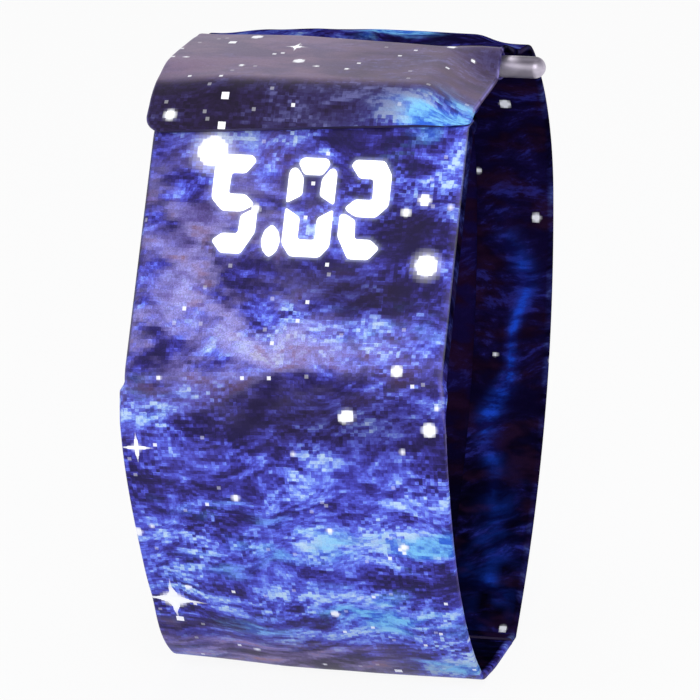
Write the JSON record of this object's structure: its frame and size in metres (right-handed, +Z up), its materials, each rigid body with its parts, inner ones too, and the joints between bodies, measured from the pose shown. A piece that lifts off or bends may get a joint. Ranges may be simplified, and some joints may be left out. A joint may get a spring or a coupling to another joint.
{
  "type": "wristwatch",
  "caption": "Paper-strap LED wristwatch: a printed folded sleeve closed in a loop by a magnet rod and a steel-backed flap, with lit segment digits on a leaning panel.",
  "frame": {"origin": "middle of the strap's width on the flat underside that the closed watch stands on, under the middle of the loop's depth", "axes": "+Z up, -Y towards the display, +X across the strap towards the edge where the magnet rod stands out"},
  "size_m": [0.038, 0.0524, 0.0664],
  "materials": {
    "printed_paper": "matt paper with a deep blue star-field print",
    "lit_paper": "printed paper lit white from behind",
    "rod_steel": "nickel plated, soft polish",
    "strip_steel": "plain rolled",
    "cell_steel": "bright nickel plated",
    "crystal_can": "satin",
    "spring_brass": "rolled, bright",
    "white_film": "matt film",
    "mask_plastic": "moulded, matt",
    "clear_resin": "clear, glossy",
    "light_chip": "glossy",
    "board": "solder mask",
    "chip_body": "moulded, matt",
    "dark_chip": "matt",
    "tan_chip": "matt",
    "holder_plastic": "moulded, matt",
    "seal": "matt",
    "amber_film": "glossy film",
    "button_plastic": "matt"
  },
  "bodies": {
    "front": {"front_sleeve": "printed_paper", "lit_digits": "lit_paper", "diffuser_film": "white_film", "light_mask": "mask_plastic", "segment_fillers": "clear_resin", "led_chips": "light_chip", "circuit_board": "board", "controller_chip": "chip_body", "quartz_crystal": "crystal_can", "resistors": "dark_chip", "capacitors": "tan_chip", "cell_holder": "holder_plastic", "cell_can": "cell_steel", "cell_gasket": "seal", "cell_cap": "cell_steel", "negative_contact": "spring_brass", "positive_contact": "spring_brass", "insulator_film": "amber_film", "switch_housing": "chip_body"},
    "rear": {"rear_sleeve": "printed_paper"},
    "flap": {"flap_sleeve": "printed_paper", "flap_strip": "strip_steel"},
    "rod": {"magnet_rod": "rod_steel"},
    "button": {"switch_plunger": "button_plastic"}
  },
  "joints": [
    {"name": "strap_open", "type": "hinge", "parent": "front", "child": "rear", "pos_m": [0, 0.006, 0], "axis": [-1, 0, 0], "range_deg": [0, 30]},
    {"name": "flap_open", "type": "hinge", "parent": "rear", "child": "flap", "pos_m": [0, 0.0064, 0.06639], "axis": [-1, 0, 0], "range_deg": [0, 150]},
    {"name": "rod_slide", "type": "slide", "parent": "front", "child": "rod", "axis": [1, 0, 0], "range_m": [-0.004, 0.03]},
    {"name": "button_press", "type": "slide", "parent": "front", "child": "button", "axis": [0, 0.8746, -0.4848], "range_m": [0, 0.0002], "stiffness_N_per_m": 300, "springref_m": -0.0003}
  ],
  "couplings": [
    {"joint": "strap_open", "follows": "flap_open", "ratio": 0.2}
  ]
}
